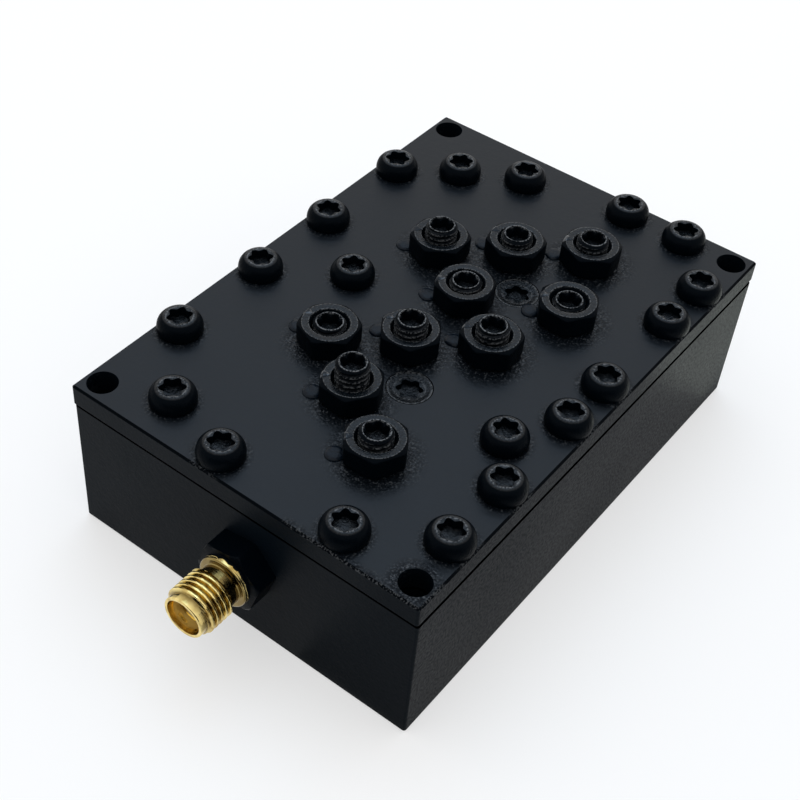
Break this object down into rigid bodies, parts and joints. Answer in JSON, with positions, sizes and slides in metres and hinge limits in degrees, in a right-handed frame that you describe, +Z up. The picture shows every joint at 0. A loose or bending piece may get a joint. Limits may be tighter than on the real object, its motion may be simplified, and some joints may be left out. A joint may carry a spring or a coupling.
{
  "type": "cavity filter",
  "caption": "Black-painted milled cavity filter with a screwed lid, lock-nutted tuning screws and a gold threaded coaxial port on each end wall.",
  "frame": {"origin": "middle of the housing's underside, which is also the bottom centre of the whole part", "axes": "+X along the long side from the input port to the output port, +Z up out of the lid, +Y across to the lid's four-screw side"},
  "size_m": [0.0928, 0.049, 0.0276],
  "materials": {
    "black_paint": "satin",
    "painted_fasteners": "satin",
    "sealing_lacquer": "gloss",
    "gold_plate": "polished",
    "dielectric": "satin",
    "bare_aluminium": "satin",
    "copper_wire": "satin"
  },
  "bodies": {
    "filter_body": {"housing": "black_paint", "lid": "black_paint", "lid_screws": "painted_fasteners", "countersunk_screws": "painted_fasteners", "lock_nuts": "painted_fasteners", "sealing_drops": "sealing_lacquer", "resonator_1": "bare_aluminium", "resonator_2": "bare_aluminium", "resonator_3": "bare_aluminium", "resonator_4": "bare_aluminium", "resonator_5": "bare_aluminium", "input_shell": "gold_plate", "input_insulator": "dielectric", "input_contact": "gold_plate", "input_tap": "copper_wire", "output_shell": "gold_plate", "output_insulator": "dielectric", "output_contact": "gold_plate", "output_tap": "copper_wire"},
    "tuning_screw_1": {"tuning_screw_1": "painted_fasteners"},
    "tuning_screw_2": {"tuning_screw_2": "painted_fasteners"},
    "tuning_screw_3": {"tuning_screw_3": "painted_fasteners"},
    "tuning_screw_4": {"tuning_screw_4": "painted_fasteners"},
    "tuning_screw_5": {"tuning_screw_5": "painted_fasteners"},
    "coupling_screw_1": {"coupling_screw_1": "painted_fasteners"},
    "coupling_screw_2": {"coupling_screw_2": "painted_fasteners"},
    "coupling_screw_3": {"coupling_screw_3": "painted_fasteners"},
    "coupling_screw_4": {"coupling_screw_4": "painted_fasteners"},
    "cross_coupling_screw": {"cross_coupling_screw": "painted_fasteners"}
  },
  "joints": [
    {"name": "tuning_screw_1_turn", "type": "hinge", "parent": "filter_body", "child": "tuning_screw_1", "pos_m": [-0.02255, -0.0082, 0.0222], "axis": [0, 0, 1], "range_deg": [-270, 270]},
    {"name": "tuning_screw_2_turn", "type": "hinge", "parent": "filter_body", "child": "tuning_screw_2", "pos_m": [-0.01145, 0.0072, 0.0222], "axis": [0, 0, 1], "range_deg": [-270, 270]},
    {"name": "tuning_screw_3_turn", "type": "hinge", "parent": "filter_body", "child": "tuning_screw_3", "pos_m": [-0.00035, -0.0082, 0.0222], "axis": [0, 0, 1], "range_deg": [-270, 270]},
    {"name": "tuning_screw_4_turn", "type": "hinge", "parent": "filter_body", "child": "tuning_screw_4", "pos_m": [0.01075, 0.0072, 0.0222], "axis": [0, 0, 1], "range_deg": [-270, 270]},
    {"name": "tuning_screw_5_turn", "type": "hinge", "parent": "filter_body", "child": "tuning_screw_5", "pos_m": [0.02185, -0.0082, 0.0222], "axis": [0, 0, 1], "range_deg": [-270, 270]},
    {"name": "coupling_screw_1_turn", "type": "hinge", "parent": "filter_body", "child": "coupling_screw_1", "pos_m": [-0.017, -0.0005, 0.0222], "axis": [0, 0, 1], "range_deg": [-270, 270]},
    {"name": "coupling_screw_2_turn", "type": "hinge", "parent": "filter_body", "child": "coupling_screw_2", "pos_m": [-0.0059, -0.0005, 0.0222], "axis": [0, 0, 1], "range_deg": [-270, 270]},
    {"name": "coupling_screw_3_turn", "type": "hinge", "parent": "filter_body", "child": "coupling_screw_3", "pos_m": [0.0052, -0.0005, 0.0222], "axis": [0, 0, 1], "range_deg": [-270, 270]},
    {"name": "coupling_screw_4_turn", "type": "hinge", "parent": "filter_body", "child": "coupling_screw_4", "pos_m": [0.0163, -0.0005, 0.0222], "axis": [0, 0, 1], "range_deg": [-270, 270]},
    {"name": "cross_coupling_screw_turn", "type": "hinge", "parent": "filter_body", "child": "cross_coupling_screw", "pos_m": [0.01075, -0.0118, 0.0222], "axis": [0, 0, 1], "range_deg": [-270, 270]}
  ]
}
